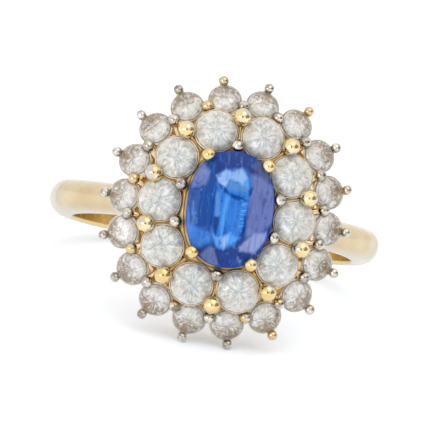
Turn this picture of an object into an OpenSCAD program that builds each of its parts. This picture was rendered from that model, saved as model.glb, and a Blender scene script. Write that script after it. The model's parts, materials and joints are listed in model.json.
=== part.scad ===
// Cluster ring in yellow gold: an oval blue stone, a tier of ten round white stones round it and a
// lower tier of eighteen smaller ones, all held by ball-tipped claws on a half-round shank.
// It lies on its side, on two outer claws and the back of the shank. Lengths are in millimetres.

/* [Shank] */
// Diameter of the finger hole
finger_d = 18.2; // [15:0.1:22]
// Width of the half-round wire that the shank is made of
band_w = 2.44; // [2:0.02:3]
// Thickness of the shank from the finger hole to its crown
band_t = 1.6; // [1.4:0.05:2]
// Width to which the shank narrows where it meets the head
shoulder_w = 1.75; // [1.5:0.05:2.3]
// Thickness of the bar that lifts each shoulder to the head
shoulder_bar_d = 1.6; // [1.2:0.05:1.75]
// Angle above the middle of the finger hole where each shoulder bar leaves the shank
shoulder_angle = 32; // [20:1:40]

/* [Stones] */
// Length of the centre stone, along the finger
centre_l = 7.14; // [6.4:0.02:8]
// Width of the centre stone, across the finger
centre_w = 5.32; // [4.8:0.02:6.2]
// Height of the centre stone above its girdle
centre_crown_h = 0.95; // [0.6:0.05:1.4]
// Depth of the centre stone below its girdle
centre_pavilion_h = 2.2; // [1.6:0.05:2.6]
// Diameter of each inner stone
inner_d = 2.55; // [2.2:0.05:2.8]
// Diameter of each outer stone
outer_d = 1.95; // [1.7:0.05:2.15]
// Height of a round stone's crown, as a share of its diameter
crown_share = 0.16; // [0.12:0.01:0.2]
// Depth of a round stone's pavilion, as a share of its diameter
pavilion_share = 0.42; // [0.36:0.01:0.46]
// Thickness of every girdle
girdle_t = 0.08; // [0.04:0.01:0.14]

/* [Tiers] */
// Turn of the centre stone and its collar on the head, as set by hand
centre_turn = 2.5; // [0:0.5:5]
// How far the centre stone and its collar are set off the head's middle, across the finger
centre_off_x = 0.12; // [-0.2:0.02:0.2]
// How far they are set off the head's middle, along the finger
centre_off_y = 0.08; // [-0.2:0.02:0.2]
// Free space in plan between the centre stone and the inner stones
centre_gap = 0.22; // [0.15:0.01:0.5]
// Smallest space between neighbouring inner stones
inner_gap = 0.36; // [0.3:0.01:0.55]
// Smallest space between neighbouring outer stones
outer_gap = 0.39; // [0.32:0.01:0.6]
// How much less the inner tier is drawn out along the finger than the centre stone is
inner_rounding = 0.14; // [0:0.02:0.5]
// How much less the outer tier is drawn out than the inner one
outer_rounding = 0.48; // [0:0.02:1.2]
// How much fuller than an ellipse the outer tier is at its corners
outer_corner = 0.09; // [0:0.01:0.14]
// How much fuller than an ellipse the inner tier is at its corners
inner_corner = 0.03; // [0:0.01:0.08]
// Greatest angle by which claws and stones stand nearer to the shank than if they were spaced evenly
crowding = 0.8; // [0:0.1:1.2]
// Smallest space in plan between the tiers, less than nothing where the inner stones overhang
tier_gap = -0.08; // [-0.1:0.01:0.3]
// Outward tilt of the inner stones
inner_tilt = 9; // [4:1:14]
// Outward tilt of the outer stones
outer_tilt = 25; // [18:1:30]
// Height of the outer girdles above the base rail
outer_rise = 2.8; // [2.6:0.05:3.4]
// Height of the inner girdles above the outer ones
inner_rise = 1.1; // [1:0.05:1.5]
// Height of the centre girdle above the inner ones
centre_rise = 0.8; // [0.6:0.05:1.2]

/* [Gallery] */
// Space between the base rail and the finger
rail_clear = 0.15; // [0.05:0.01:0.3]
// Thickness of the base rail's round wire
rail_d = 0.95; // [0.8:0.05:1.2]
// Diameter of the base rail, through the middle of its wire
rail_ring_d = 10.6; // [10:0.1:11.4]
// Thickness of the upper rail's round wire, which ties the prongs together
upper_rail_d = 0.6; // [0.5:0.05:0.7]
// Height of the upper rail above the base rail
upper_rail_rise = 1; // [0.9:0.05:1.2]
// Thickness of the spokes between the collar and the posts
spoke_d = 0.52; // [0.4:0.02:0.6]
// Thickness of the collar under the centre stone
collar_t = 0.72; // [0.6:0.02:0.84]
// How far the collar stands out past the centre stone's girdle
collar_out = 0.12; // [0.08:0.01:0.2]
// Height of the collar
collar_h = 1.75; // [1.4:0.05:2]
// Thickness of the plate that closes the gallery round the collar's foot
plate_t = 0.3; // [0.2:0.02:0.5]
// How far the plate reaches past the line of the inner stones' middles
plate_out = 0.75; // [0.6:0.01:0.8]
// Thickness of the short post between the plate and each inner stone's cup
seat_post_d = 1.4; // [1.3:0.05:1.5]
// Thickness of metal round each stone's girdle
seat_wall = 0.1; // [0.06:0.01:0.14]
// Clear space between a stone and its metal
stone_clear = 0.04; // [0.02:0.01:0.08]

/* [Claws] */
// Diameter of the ball on each outermost claw
tip_d = 0.64; // [0.56:0.02:0.8]
// Diameter of the ball on each claw between two outer stones
between_d = 0.76; // [0.66:0.02:0.84]
// Diameter of the large ball on each claw between two inner stones
large_d = 1.12; // [1:0.02:1.2]
// Diameter of the small ball on each inner claw
small_d = 0.84; // [0.7:0.02:0.9]
// Diameter of the ball on each of the centre stone's claws
centre_ball_d = 0.86; // [0.76:0.02:1]
// Diameter of the prongs that carry the outer claws
prong_d = 0.5; // [0.44:0.02:0.54]
// Diameter of the posts that carry the large balls
post_d = 0.72; // [0.66:0.02:0.8]
// How far a claw's ball reaches over the edge of its stone
claw_bite = 0.06; // [0.04:0.01:0.12]

/* [Hidden] */

// Stones of each tier, counted on the ring.
outer_count = 18;
inner_count = 10;
function two_digits(k) = k < 10 ? str("0", k) : str(k);
inner_names = [for (k = [1:inner_count]) str("inner_stone_", two_digits(k))];
outer_names = [for (k = [1:outer_count]) str("outer_stone_", two_digits(k))];

gold = "#e6cd8c";
sapphire = "#2a55b8";
milky = "#dfe4e2";
clear_white = "#e4ded6";

// Sides of large and of small circles.
smooth = 64;
wire_smooth = 32;

// Where the centre stone's four claws grip its outline.
centre_claw_angles = [48, 124, 228, 302];
// The gaps between inner stones that hold a small ball on the side of the centre stone.
small_ball_angles = [18, 90, 162, 198, 270, 342];

// Proportions of a round brilliant, as shares of its girdle's radius.
table_share = 0.57;
crown_mid_share = 0.76;
pavilion_mid_share = 0.24;

// The centre stone's outline is an ellipse when this is 2 and squarer above it.
cushion_power = 2.3;

// Levels of the centre stone: shares of its half width, its half length and its crown's height.
centre_table = [0.46, 0.66, 1];
centre_crown_mid = [0.78, 0.84, 0.3];

// Levels below its girdle, the last share being of the pavilion's depth.
pavilion_steps = [[0.72, 0.8, 0.42], [0.4, 0.58, 0.78], [0.03, 0.3, 1]];

// Corners of every stone's table. The girdle has twice as many sides.
corners = 8;

// Points of the collar's outline.
collar_points = 48;

// Depth of a stone's cup and width of its foot, as shares of the pavilion's depth and of its rim.
seat_depth_share = 0.66;
seat_foot_share = 0.58;

// Thickness of the stem under a ball on the centre stone's side, as a share of the ball.
stem_share = 0.8;

// Length of the stems of the small inner balls, as a share of the collar's height.
small_stem_share = 0.6;

// How much wider than a half circle the shank is cut, so that the cut leaves its wire whole.
shank_ease = 0.05;

finger_r = finger_d / 2;
wire_r = band_w / 2;
wire_ring_r = finger_r + band_t - wire_r;
rail_r = rail_d / 2;
rail_ring_r = rail_ring_d / 2;
rail_z = finger_r + rail_clear + rail_r;
outer_z = rail_z + outer_rise;
inner_z = outer_z + inner_rise;
centre_z = inner_z + centre_rise;

// The mean radius of each tier: wide enough for its stones side by side and for what it surrounds.
function row_radius(count, pitch) = count * pitch / (2 * PI);
centre_half = [centre_w / 2, centre_l / 2];
inner_extra_l = centre_l - centre_w - inner_rounding;
outer_extra_l = inner_extra_l - outer_rounding;
inner_mean = max(row_radius(inner_count, inner_d + inner_gap),
                 (centre_half.x + centre_half.y) / 2 + centre_gap + inner_d / 2);
inner_half = [inner_mean - inner_extra_l / 4, inner_mean + inner_extra_l / 4, inner_corner];
outer_mean = max(row_radius(outer_count, outer_d + outer_gap),
                 inner_mean + inner_d / 2 + tier_gap + outer_d / 2 * cos(outer_tilt));
outer_half = [outer_mean - outer_extra_l / 4, outer_mean + outer_extra_l / 4, outer_corner];

// A direction on an oval, turned so that equal steps give equal spaces along it, but for the crowding.
function even(angle, half) =
    let (oval = (half.y ^ 2 - half.x ^ 2) / (half.x ^ 2 + half.y ^ 2))
    angle - (oval / 4 * 180 / PI + crowding) * sin(2 * angle);

// A tier's line is given by its half width, its half length and how much fuller its corners are.
function on_oval(angle, half) =
    let (t = even(angle, half), full = 1 - 2 * half.z / (half.x + half.y) * cos(4 * t))
    full * [half.x * cos(t), half.y * sin(t)];
function outward(angle, half) =
    let (t = even(angle, half), n = [half.y * cos(t), half.x * sin(t)]) n / norm(n);

// A point given by how far out from the oval and how high it lies.
function beside(angle, half, out, z) =
    let (p = on_oval(angle, half) + out * outward(angle, half)) [p.x, p.y, z];

// A point given in the frame of a tilted stone: reach along its girdle, lift along its axis.
function by_stone(angle, half, z, tilt, reach, lift) =
    beside(angle, half, reach * cos(tilt) + lift * sin(tilt), z - reach * sin(tilt) + lift * cos(tilt));

function inner_angle(k) = 360 / inner_count * k;
function outer_angle(k) = 360 / outer_count * k;

// How far the collar's top lies below the centre girdle.
collar_below = 0.75;

// How far the plate lies above the collar's foot, and how far the middle of its thickness lies below
// the inner girdles.
plate_above = 0.1;
plate_z = centre_z - collar_below - collar_h + plate_above;
seat_drop = inner_z - plate_z - plate_t / 2;

// The outermost balls: out from the middle of an outer stone and above its girdle.
tip_reach = outer_d / 2 + tip_d / 2 - claw_bite;
tip_lift = 0.12;
function tip_point(angle) = by_stone(angle, outer_half, outer_z, outer_tilt, tip_reach, tip_lift);

// The balls between outer stones: in from the line of their middles and above it.
between_in = 0.35;
between_lift = 0.32;

// The large balls between inner stones: out from the line of their middles and above it.
large_out = 0.8;
large_lift = 0.22;
function large_point(k) = beside(inner_angle(k + 0.5), inner_half, large_out, inner_z + large_lift);

// How far below the inner girdles the spokes run.
spoke_drop = 0.6;

// The small balls: in from the line of the inner stones' middles and above it.
small_in = 1.01;
small_lift = 0.4;

// The balls on the centre stone's claws: how much of each lies over the stone, and its height.
centre_ball_over = 0.27;
centre_claw_out = centre_ball_d / 2 - centre_ball_over;
centre_claw_lift = 0.3;

// The angle at which the ring lies, with a lowest claw and the back of the shank on the surface.
tip_low = max([for (k = [0:outer_count - 1]) -tip_point(outer_angle(k)).y]);
tip_rise = tip_point(0).z;
lean = acos((wire_r - tip_d / 2) / norm([tip_low, tip_rise + wire_ring_r]))
     - atan2(tip_rise + wire_ring_r, tip_low);
rest_z = wire_ring_r * sin(lean) + wire_r;
back_reach = wire_ring_r * cos(lean) + wire_r;

function centre_claw_tip(t) =
    let (n = [centre_half.y * cos(t), centre_half.x * sin(t)],
         p = cushion(t, centre_half) + centre_claw_out * n / norm(n))
    [p.x, p.y, centre_claw_lift];

// A centre claw's ball or a large ball reaches farthest to the front, and the ring lies centred
// between its ends.
function front(y, z) = z * cos(lean) - y * sin(lean);
centre_fronts = [for (t = centre_claw_angles)
    let (p = centre_claw_tip(t))
    front(centre_off_y + p.x * sin(centre_turn) + p.y * cos(centre_turn), centre_z + p.z)];
large_fronts = [for (k = [0:inner_count - 1]) front(large_point(k).y, large_point(k).z)];
front_reach = max(max(centre_fronts) + centre_ball_d / 2, max(large_fronts) + large_d / 2);
rest_y = (front_reach - back_reach) / 2;

module lying() {
    translate([0, rest_y, rest_z])
        rotate([90 - lean, 0, 0])
            children();
}

// A round bar from one point to another.
module bar(from, to, d) {
    run = to - from;
    translate(from)
        rotate([0, acos(run.z / norm(run)), atan2(run.y, run.x)])
            cylinder(d = d, h = norm(run), $fn = wire_smooth);
}

// A bar that ends in a ball.
module claw(foot, tip, bar_d, ball_d) {
    bar(foot, tip, bar_d);
    translate(tip)
        sphere(d = ball_d, $fn = wire_smooth);
}

// Puts a round stone, or what surrounds it, at its place in a tier.
module in_tier(angle, half, z, tilt) {
    n = outward(angle, half);
    translate(beside(angle, half, 0, z))
        rotate([0, tilt, atan2(n.y, n.x)])
            children();
}

// The hollow that a round stone sits in, open above its table.
module round_hollow(d) {
    r = d / 2 + stone_clear;
    top = girdle_t / 2 + crown_share * d + stone_clear;
    bottom = -girdle_t / 2 - pavilion_share * d - stone_clear;
    edge = girdle_t / 2 + stone_clear / 2;
    rotate_extrude($fn = smooth)
        polygon([[0, bottom], [r, -edge], [r, edge], [table_share * r, top], [0, top]]);
}

// The cup of metal that a round stone sits in.
module seat(d) {
    depth = pavilion_share * d * seat_depth_share;
    rim_r = d / 2 + seat_wall;
    translate([0, 0, -depth])
        cylinder(r1 = rim_r * seat_foot_share, r2 = rim_r, h = depth - girdle_t, $fn = smooth);
}

module all_inner() {
    for (k = [0:inner_count - 1])
        in_tier(inner_angle(k), inner_half, inner_z, inner_tilt)
            children();
}

module all_outer() {
    for (k = [0:outer_count - 1])
        in_tier(outer_angle(k), outer_half, outer_z, outer_tilt)
            children();
}

// An oval outline with slightly full corners.
function cushion(t, half) =
    [half.x * sign(cos(t)) * abs(cos(t)) ^ (2 / cushion_power),
     half.y * sign(sin(t)) * abs(sin(t)) ^ (2 / cushion_power)];
function cushion_outline(count, half) = [for (i = [0:count - 1]) cushion(i * 360 / count, half)];

// A half-round wire bent round the finger, with a bar up to the base rail on each side of the head.
module shank() {
    top_z = rail_z;
    leave = wire_ring_r * [cos(shoulder_angle), sin(shoulder_angle)];
    low_w = wire_r + shank_ease;
    intersection() {
        difference() {
            union() {
                rotate([90, 0, 0])
                    rotate_extrude($fn = 2 * smooth)
                        translate([wire_ring_r, 0])
                            circle(d = band_w, $fn = wire_smooth);
                for (side = [-1, 1])
                    bar([side * leave.x, 0, leave.y], [side * rail_ring_r, 0, top_z], shoulder_bar_d);
            }
            cylinder(r = rail_ring_r - rail_r / 2, h = 2 * wire_ring_r, $fn = smooth);
        }
        rotate([90, 0, 90])
            linear_extrude(4 * wire_ring_r, center = true)
                polygon([[-band_w, -2 * wire_ring_r], [band_w, -2 * wire_ring_r], [band_w, -wire_r],
                         [low_w, 0], [shoulder_w / 2, top_z], [shoulder_w / 2, 2 * top_z],
                         [-shoulder_w / 2, 2 * top_z], [-shoulder_w / 2, top_z], [-low_w, 0],
                         [-band_w, -wire_r]]);
    }
}

// The upper rail runs half way between the prongs of the outermost claws and those between the stones.
tip_share = upper_rail_rise / (tip_rise - rail_z);
between_share = upper_rail_rise / (outer_rise + between_lift);
upper_ring_r = rail_ring_r
    + ((outer_mean + tip_reach * cos(outer_tilt) - rail_ring_r) * tip_share
    + (outer_mean - between_in - rail_ring_r) * between_share) / 2;

module ring_rail(ring_r, d, z) {
    translate([0, 0, z])
        rotate_extrude($fn = smooth)
            translate([ring_r, 0])
                circle(d = d, $fn = wire_smooth);
}

module gallery() {
    ring_rail(rail_ring_r, rail_d, rail_z);
    ring_rail(upper_ring_r, upper_rail_d, rail_z + upper_rail_rise);
    collar_half = centre_half + collar_out * [1, 1];
    in_centre()
        translate([0, 0, -collar_below - collar_h])
            linear_extrude(collar_h)
                difference() {
                    polygon(cushion_outline(collar_points, collar_half));
                    polygon(cushion_outline(collar_points, collar_half - collar_t * [1, 1]));
                }
    translate([0, 0, plate_z])
        linear_extrude(plate_t)
            difference() {
                polygon([for (i = [0:smooth - 1])
                    let (t = i * 360 / smooth)
                    [(inner_half.x + plate_out) * cos(t), (inner_half.y + plate_out) * sin(t)]]);
                translate([centre_off_x, centre_off_y])
                    rotate(centre_turn)
                        polygon(cushion_outline(collar_points, collar_half - collar_t / 2 * [1, 1]));
            }
    all_inner() {
        seat(inner_d);
        translate([0, 0, -seat_drop])
            cylinder(d = seat_post_d, h = seat_drop - girdle_t, $fn = wire_smooth);
    }
    all_outer() seat(outer_d);
}

function rail_foot(angle) = [rail_ring_r * cos(angle), rail_ring_r * sin(angle), rail_z];

module claws() {
    for (k = [0:outer_count - 1]) {
        at_stone = outer_angle(k);
        at_gap = outer_angle(k + 0.5);
        between = beside(at_gap, outer_half, -between_in, outer_z + between_lift);
        claw(rail_foot(at_stone), tip_point(at_stone), prong_d, tip_d);
        claw(rail_foot(at_gap), between, prong_d, between_d);
    }
    for (k = [0:inner_count - 1]) {
        at_gap = inner_angle(k + 0.5);
        claw(rail_foot(at_gap), large_point(k), post_d, large_d);
        bar(beside(at_gap, inner_half, -inner_d / 2 - centre_gap - collar_t / 2, inner_z - spoke_drop),
            beside(at_gap, inner_half, large_out, inner_z - spoke_drop), spoke_d);
    }
    for (angle = small_ball_angles) {
        tip = beside(angle, inner_half, -small_in, inner_z + small_lift);
        claw(tip - [0, 0, collar_h * small_stem_share], tip, small_d * stem_share, small_d);
    }
    in_centre()
        for (t = centre_claw_angles) {
            tip = centre_claw_tip(t);
            claw(tip - [0, 0, collar_h], tip, centre_ball_d * stem_share, centre_ball_d);
        }
}

// All the gold is soldered into one piece.
module gold_mount() {
    color(gold)
        lying()
            difference() {
                union() {
                    shank();
                    gallery();
                    claws();
                }
                all_inner() round_hollow(inner_d);
                all_outer() round_hollow(outer_d);
                in_centre() oval_gem(stone_clear);
                rotate([90, 0, 0])
                    cylinder(d = finger_d, h = 4 * wire_ring_r, center = true, $fn = 2 * smooth);
            }
}

// A level of a round brilliant: so many points on a circle, the first turned by an angle.
function ring_level(count, r, z, turn = 0) =
    [for (i = [0:count - 1]) [r * cos(turn + i * 360 / count), r * sin(turn + i * 360 / count), z]];

// A round brilliant. Its levels run from the table down to the culet.
module round_stone(d) {
    r = d / 2;
    h = girdle_t / 2;
    top = h + crown_share * d;
    deep = h + pavilion_share * d;
    table_r = table_share * r;
    mid_r = crown_mid_share * r;
    low_r = pavilion_mid_share * r;
    turn = 180 / corners;
    mid_z = top - (mid_r * cos(turn) - table_r) * (top - h) / (r - table_r);
    low_z = -deep + low_r * cos(turn) * (deep - h) / r;
    points = concat(
        ring_level(corners, table_r, top),
        ring_level(corners, mid_r, mid_z, turn),
        ring_level(2 * corners, r, h),
        ring_level(2 * corners, r, -h),
        ring_level(corners, low_r, low_z, turn),
        [[0, 0, -deep]]);
    polyhedron(points, brilliant_faces(corners));
}

// Its facets. Each turn of the pattern starts at a table corner and takes in two sides of the girdle.
function brilliant_faces(n) =
    let (mid = n, up = 2 * n, down = 4 * n, low = 6 * n, culet = 7 * n)
    concat(
        [[for (i = [n - 1:-1:0]) i]],
        [for (i = [0:n - 1])
            let (before = (i + n - 1) % n, after = (i + 1) % n)
            let (g0 = 2 * i, g1 = g0 + 1, g2 = (g0 + 2) % (2 * n))
            each [[i, after, mid + i],
                  [i, mid + i, up + g0, mid + before],
                  [mid + i, up + g1, up + g0],
                  [mid + i, up + g2, up + g1],
                  [up + g0, up + g1, down + g1, down + g0],
                  [up + g1, up + g2, down + g2, down + g1],
                  [down + g0, down + g1, low + i],
                  [down + g1, down + g2, low + i],
                  [culet, low + before, down + g0, low + i]]]);

module inner_stone(k) {
    color(milky)
        lying()
            in_tier(inner_angle(k), inner_half, inner_z, inner_tilt)
                round_stone(inner_d);
}

module outer_stone(k) {
    color(clear_white)
        lying()
            in_tier(outer_angle(k), outer_half, outer_z, outer_tilt)
                round_stone(outer_d);
}

// A level of the centre stone, each corner over or under every second point of its girdle.
function cornered(half, share, z) =
    [for (i = [0:corners - 1])
        let (p = cushion((i + 0.5) * 360 / corners, [half.x * share.x, half.y * share.y])) [p.x, p.y, z]];
function girdle_level(half, z) = [for (p = cushion_outline(2 * corners, half)) [p.x, p.y, z]];

// Triangles between a level of corners and the one of as many below it.
function step_faces(top, n) =
    [for (i = [0:n - 1]) let (a = top + i, b = top + (i + 1) % n) each [[a, b, a + n], [b, b + n, a + n]]];

// Triangles between a level of corners and the girdle below it, or above it.
function crown_faces(top, girdle, n) =
    [for (i = [0:n - 1])
        let (a = top + i, b = top + (i + 1) % n, g = girdle + 2 * i, next = girdle + (2 * i + 2) % (2 * n))
        each [[a, b, next], [a, next, g + 1], [a, g + 1, g]]];
function pavilion_faces(girdle, low, n) =
    [for (i = [0:n - 1])
        let (a = low + i, b = low + (i + 1) % n, g = girdle + 2 * i, next = girdle + (2 * i + 2) % (2 * n))
        each [[g, g + 1, a], [g + 1, next, a], [next, b, a]]];
function wall_faces(top, n) =
    [for (i = [0:n - 1]) let (a = top + i, b = top + (i + 1) % n) [a, b, b + n, a + n]];

// The centre stone's shape, grown by a clearance. Its levels run from the table down to the keel.
module oval_gem(clear) {
    half = centre_half + clear * [1, 1];
    edge = girdle_t / 2 + clear / 2;
    crown = centre_crown_h + clear - edge;
    pavilion = centre_pavilion_h + clear - edge;
    n = corners;
    low = 6 * n;
    keel = low + (len(pavilion_steps) - 1) * n;
    points = concat(
        cornered(half, centre_table, edge + crown * centre_table.z),
        cornered(half, centre_crown_mid, edge + crown * centre_crown_mid.z),
        girdle_level(half, edge),
        girdle_level(half, -edge),
        [for (share = pavilion_steps) each cornered(half, share, -edge - pavilion * share.z)]);
    polyhedron(points, concat(
        [[for (i = [n - 1:-1:0]) i]],
        step_faces(0, n),
        crown_faces(n, 2 * n, n),
        wall_faces(2 * n, 2 * n),
        pavilion_faces(4 * n, low, n),
        [for (top = [low:n:keel - 1]) each step_faces(top, n)],
        [[for (i = [0:n - 1]) keel + i]]));
}

// The centre stone's place on the head.
module in_centre() {
    translate([centre_off_x, centre_off_y, centre_z])
        rotate(centre_turn)
            children();
}

module centre_stone() {
    color(sapphire)
        lying()
            in_centre()
                oval_gem(0);
}

gold_mount();
centre_stone();
for (k = [0:inner_count - 1]) {
    inner_stone(k);
}
for (k = [0:outer_count - 1]) {
    outer_stone(k);
}
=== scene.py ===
import json
import math

import bmesh
import bpy
import numpy as np
from mathutils import Matrix, Vector


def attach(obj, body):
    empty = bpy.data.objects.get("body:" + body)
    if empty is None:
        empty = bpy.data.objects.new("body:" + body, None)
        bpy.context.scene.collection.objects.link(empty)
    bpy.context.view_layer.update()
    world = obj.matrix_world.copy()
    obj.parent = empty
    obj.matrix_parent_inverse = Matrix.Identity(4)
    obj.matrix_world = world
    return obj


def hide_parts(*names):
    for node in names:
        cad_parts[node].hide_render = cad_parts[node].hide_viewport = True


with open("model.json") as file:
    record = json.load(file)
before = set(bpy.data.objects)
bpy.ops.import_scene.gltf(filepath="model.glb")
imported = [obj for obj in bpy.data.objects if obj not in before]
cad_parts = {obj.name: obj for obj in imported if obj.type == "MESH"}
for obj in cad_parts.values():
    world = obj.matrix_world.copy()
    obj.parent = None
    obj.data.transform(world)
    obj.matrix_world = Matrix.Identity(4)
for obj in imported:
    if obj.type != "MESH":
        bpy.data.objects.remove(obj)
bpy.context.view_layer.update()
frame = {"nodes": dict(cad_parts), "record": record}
print("frame loaded")

mm = 0.001

# The head's own directions come from the finger hole: y runs along the finger and z out of the head.
hole = frame["record"]["mounts"][0]
fingerAxis = np.array(hole["axis"], float)
ringCentre = np.array(hole["pos_m"], float) / mm
headAxis = np.array([0, -fingerAxis[2], fingerAxis[1]])
acrossAxis = np.array([1.0, 0, 0])


def lay(points):
    # Local millimetres to the row frame: centre + x * across + y * finger + z * head, in metres.
    x, y, z = points[..., 0:1], points[..., 1:2], points[..., 2:3]
    return (ringCentre + x * acrossAxis + y * fingerAxis + z * headAxis) * mm


# Sizes shared by the pieces, in millimetres and degrees. A tier's half is its oval's half width, its
# half length and how much fuller its corners are.
head = {
    "centreHalf": np.array([2.66, 3.57]), "centreLevel": 14.425, "centreTurn": 2.5, "cushionPower": 2.3,
    "centreOff": (0.12, 0.08),
    "innerCount": 10, "innerHalf": np.array([4.21141, 5.05141, 0.03]), "innerLevel": 13.625, "innerTilt": 9,
    "innerWidth": 2.55,
    "outerCount": 18, "outerHalf": np.array([6.41006, 7.01006, 0.09]), "outerLevel": 12.525, "outerTilt": 25,
    "outerWidth": 1.95,
    "crowding": 0.8, "railRadius": 5.3, "railLevel": 9.725, "girdle": 0.08, "clear": 0.04,
}


def evenAngle(degrees, half):
    # The oval's parameter: the angle less a share of sin(2 * angle), which spaces equal steps evenly
    # but for the crowding of the real stones.
    a = np.radians(degrees)
    oval = (half[1] ** 2 - half[0] ** 2) / (half[0] ** 2 + half[1] ** 2)
    return a - (oval / 4 + math.radians(head["crowding"])) * np.sin(2 * a)


def beside(degrees, half, out, level):
    # A point of the oval (half x * cos t, half y * sin t), its corners made fuller by a share of
    # cos(4 * t), moved out along the plain oval's normal.
    t = evenAngle(np.asarray(degrees, float), half)
    full = 1 - 2 * half[2] / (half[0] + half[1]) * np.cos(4 * t)
    point = np.stack([full * half[0] * np.cos(t), full * half[1] * np.sin(t)], -1)
    normal = np.stack([half[1] * np.cos(t), half[0] * np.sin(t)], -1)
    normal /= np.linalg.norm(normal, axis=-1, keepdims=True)
    point = point + out * normal
    return np.concatenate([point, np.full(point.shape[:-1] + (1,), float(level))], -1)


def outward(degrees, half):
    # Unit vector along the oval's normal, in the plane of the head.
    t = evenAngle(np.asarray(degrees, float), half)
    normal = np.stack([half[1] * np.cos(t), half[0] * np.sin(t), np.zeros_like(t)], -1)
    return normal / np.linalg.norm(normal, axis=-1, keepdims=True)


def cushion(t, half):
    # A full-cornered oval: each coordinate is half * sign(c) * |c| ** (2 / power), c being cos t or sin t.
    power = 2 / head["cushionPower"]
    c, s = np.cos(t), np.sin(t)
    return np.stack([half[..., 0] * np.sign(c) * np.abs(c) ** power,
                     half[..., 1] * np.sign(s) * np.abs(s) ** power], -1)


def turnedHead(points):
    # The centre stone's own frame: turned and moved in the plane of the head and lifted to its girdle.
    a = math.radians(head["centreTurn"])
    offX, offY = head["centreOff"]
    x, y, z = points[..., 0], points[..., 1], points[..., 2]
    return np.stack([x * math.cos(a) - y * math.sin(a) + offX, x * math.sin(a) + y * math.cos(a) + offY,
                     z + head["centreLevel"]], -1)


def stoneAxes(normal, tilt):
    # A tilted stone's axes: out along its tilt, along its tier and out of its table.
    a = math.radians(tilt)
    up = np.array([0, 0, 1.0])
    return (normal * math.cos(a) - up * math.sin(a), np.cross(up, normal),
            up * math.cos(a) + normal * math.sin(a))


def inTier(points, degrees, half, level, tilt):
    # Points of one stone's frame, tilted outwards about the oval's tangent and moved to each stone.
    reach, side, axis = stoneAxes(outward(degrees, half)[:, None, None, :], tilt)
    centre = beside(degrees, half, 0, level)[:, None, None, :]
    x, y, z = points[..., 0:1], points[..., 1:2], points[..., 2:3]
    return centre + x * reach + y * side + z * axis


def tierAngles(count, shift=0.0):
    return (np.arange(count) + shift) * 360 / count


def ofTier(tier, grid):
    # A grid made for the tier's width, repeated at each of its stones.
    return inTier(grid(head[tier + "Width"]), tierAngles(head[tier + "Count"]), head[tier + "Half"],
                  head[tier + "Level"], head[tier + "Tilt"])


def gridFaces(rows, columns, wrapRows):
    # Four corners per cell of a grid whose columns close on themselves, as rows may too.
    i = np.arange(rows if wrapRows else rows - 1)[:, None]
    j = np.arange(columns)[None, :]
    nextRow, nextColumn = (i + 1) % rows, (j + 1) % columns
    corners = [i * columns + j, i * columns + nextColumn,
               nextRow * columns + nextColumn, nextRow * columns + j]
    return np.stack([np.broadcast_to(c, (i.size, j.size)) for c in corners], -1).reshape(-1, 4)


weldDistance = 1e-7


def makePiece(name, grids, material, wrapRows=False, node="gold_mount", smooth=True):
    # Joins grids of points (count, rows, columns, 3) in the ring's frame into one closed mesh.
    points, faces, start = [], [], 0
    for grid in grids:
        count, rows, columns = grid.shape[:3]
        cells = gridFaces(rows, columns, wrapRows)
        offsets = start + np.arange(count)[:, None, None] * rows * columns
        faces.append((cells[None] + offsets).reshape(-1, 4))
        points.append(lay(grid).reshape(-1, 3))
        start += count * rows * columns
    points, faces = np.concatenate(points), np.concatenate(faces)
    mesh = bpy.data.meshes.new(name)
    mesh.from_pydata(points.tolist(), [], faces.tolist())
    work = bmesh.new()
    work.from_mesh(mesh)
    bmesh.ops.remove_doubles(work, verts=work.verts, dist=weldDistance)
    bmesh.ops.recalc_face_normals(work, faces=work.faces)
    work.to_mesh(mesh)
    work.free()
    mesh.polygons.foreach_set("use_smooth", np.full(len(mesh.polygons), smooth))
    mesh.materials.append(material)
    piece = bpy.data.objects.new(name, mesh)
    bpy.context.scene.collection.objects.link(piece)
    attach(piece, "root")
    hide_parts(node)
    print("made", name, len(mesh.polygons), "faces")


def ballGrid(centres, width, rows=20, columns=28):
    # Spheres: centre + r * (sin a cos b, sin a sin b, cos a), a from pole to pole and b round.
    a = np.linspace(0, math.pi, rows)[:, None]
    b = np.linspace(0, 2 * math.pi, columns, endpoint=False)[None, :]
    unit = np.stack([np.sin(a) * np.cos(b), np.sin(a) * np.sin(b), np.cos(a) + 0 * b], -1)
    return centres[:, None, None, :] + width / 2 * unit


def barGrid(starts, ends, width, rows=5, columns=20):
    # Round bars: start + t * run + r(t) * (cos b * u + sin b * v), closed to a point at both ends.
    run = ends - starts
    along = run / np.linalg.norm(run, axis=-1, keepdims=True)
    nearlyUpright = 0.9
    helper = np.where(np.abs(along[:, 2:3]) < nearlyUpright, [[0, 0, 1.0]], [[1.0, 0, 0]])
    u = np.cross(along, helper)
    u /= np.linalg.norm(u, axis=-1, keepdims=True)
    v = np.cross(along, u)
    t = np.concatenate([[0], np.linspace(0, 1, rows), [1]])[None, :, None, None]
    r = np.concatenate([[0], np.ones(rows), [0]])[None, :, None, None] * width / 2
    b = np.linspace(0, 2 * math.pi, columns, endpoint=False)[None, None, :, None]
    ring = np.cos(b) * u[:, None, None, :] + np.sin(b) * v[:, None, None, :]
    return starts[:, None, None, :] + t * run[:, None, None, :] + r * ring


def loopGrid(profile, columns=96):
    # A closed profile of (radius, height) carried round the z axis.
    b = np.linspace(0, 2 * math.pi, columns, endpoint=False)[None, :]
    r, z = profile[:, 0:1], profile[:, 1:2]
    return np.stack([r * np.cos(b), r * np.sin(b), z + 0 * b], -1)[None]


def roundProfile(ringRadius, level, width, points=24):
    # A circle of the wire's width round (ringRadius, level).
    a = np.linspace(0, 2 * math.pi, points, endpoint=False)
    return np.stack([ringRadius + width / 2 * np.cos(a), level + width / 2 * np.sin(a)], -1)


# Materials: each helper adds nodes to a tree and returns the output of the last one.

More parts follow.
